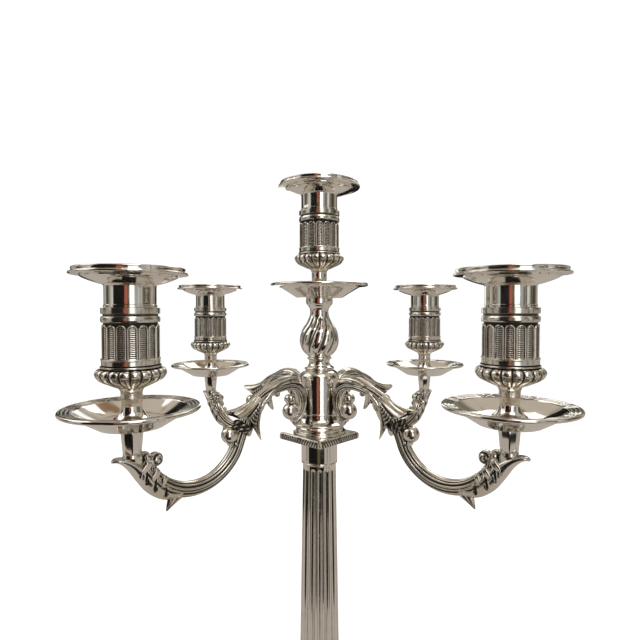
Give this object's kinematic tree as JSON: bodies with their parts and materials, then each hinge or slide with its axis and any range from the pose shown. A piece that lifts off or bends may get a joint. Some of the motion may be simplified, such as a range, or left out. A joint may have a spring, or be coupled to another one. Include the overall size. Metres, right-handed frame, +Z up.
{
  "type": "tabletop candelabra",
  "caption": "Tall silver-plated tabletop candelabra: fluted column on a square foot, with a lift-off branch of scrolled arms, drip pans, chased sockets and loose candle nozzles.",
  "frame": {"origin": "bottom centre of the base, on the table", "axes": "+Z up along the column; X and Y along the sides of the square base; the arms point along +X (right), -Y (front), -X (left) and +Y (back)"},
  "size_m": [0.3678, 0.3678, 0.48],
  "materials": {
    "polished_silver": "polished silver plate, slightly worn",
    "chased_silver": "chased silver plate with dark oxidised recesses",
    "brass": "turned, unplated",
    "steel": "plain zinc-plated",
    "leather": "plain hide sleeve",
    "filler": "cast plaster weighting",
    "felt": "green baize"
  },
  "bodies": {
    "candlestick": {"base_felt": "felt", "base_plate": "steel", "base_fill": "filler", "base_shell": "polished_silver", "column_foot": "polished_silver", "column_shaft": "polished_silver", "column_collar": "polished_silver", "abacus": "chased_silver", "column_cup": "brass", "tie_rod": "steel", "tie_washer": "steel", "tie_nut": "steel"},
    "sleeve": {"spigot_sleeve": "leather"},
    "branch": {"branch_rod": "steel", "light_screws": "steel", "hub_foot": "polished_silver", "hub_body": "polished_silver", "baluster_foot": "polished_silver", "baluster": "polished_silver", "baluster_knop": "polished_silver", "branch_spigot": "brass", "pan_centre": "polished_silver", "stem_centre": "polished_silver", "socket_centre": "chased_silver", "pan_right": "polished_silver", "stem_right": "polished_silver", "socket_right": "chased_silver", "pan_front": "polished_silver", "stem_front": "polished_silver", "socket_front": "chased_silver", "pan_left": "polished_silver", "stem_left": "polished_silver", "socket_left": "chased_silver", "pan_back": "polished_silver", "stem_back": "polished_silver", "socket_back": "chased_silver", "post_right": "polished_silver", "upper_scroll_right": "chased_silver", "lower_scroll_right": "chased_silver", "post_front": "polished_silver", "upper_scroll_front": "chased_silver", "lower_scroll_front": "chased_silver", "post_left": "polished_silver", "upper_scroll_left": "chased_silver", "lower_scroll_left": "chased_silver", "post_back": "polished_silver", "upper_scroll_back": "chased_silver", "lower_scroll_back": "chased_silver"},
    "nozzle_centre_body": {"nozzle_centre": "polished_silver"},
    "nozzle_right_body": {"nozzle_right": "polished_silver"},
    "nozzle_front_body": {"nozzle_front": "polished_silver"},
    "nozzle_left_body": {"nozzle_left": "polished_silver"},
    "nozzle_back_body": {"nozzle_back": "polished_silver"}
  },
  "joints": [
    {"name": "branch_lift", "type": "slide", "parent": "candlestick", "child": "sleeve", "axis": [0, 0, 1], "range_m": [0, 0.045]},
    {"name": "branch_turn", "type": "hinge", "parent": "sleeve", "child": "branch", "pos_m": [0, 0, 0.28], "axis": [0, 0, 1], "continuous": true},
    {"name": "nozzle_centre_lift", "type": "slide", "parent": "branch", "child": "nozzle_centre_body", "axis": [0, 0, 1], "range_m": [0, 0.03]},
    {"name": "nozzle_right_lift", "type": "slide", "parent": "branch", "child": "nozzle_right_body", "axis": [0, 0, 1], "range_m": [0, 0.03]},
    {"name": "nozzle_front_lift", "type": "slide", "parent": "branch", "child": "nozzle_front_body", "axis": [0, 0, 1], "range_m": [0, 0.03]},
    {"name": "nozzle_left_lift", "type": "slide", "parent": "branch", "child": "nozzle_left_body", "axis": [0, 0, 1], "range_m": [0, 0.03]},
    {"name": "nozzle_back_lift", "type": "slide", "parent": "branch", "child": "nozzle_back_body", "axis": [0, 0, 1], "range_m": [0, 0.03]}
  ]
}
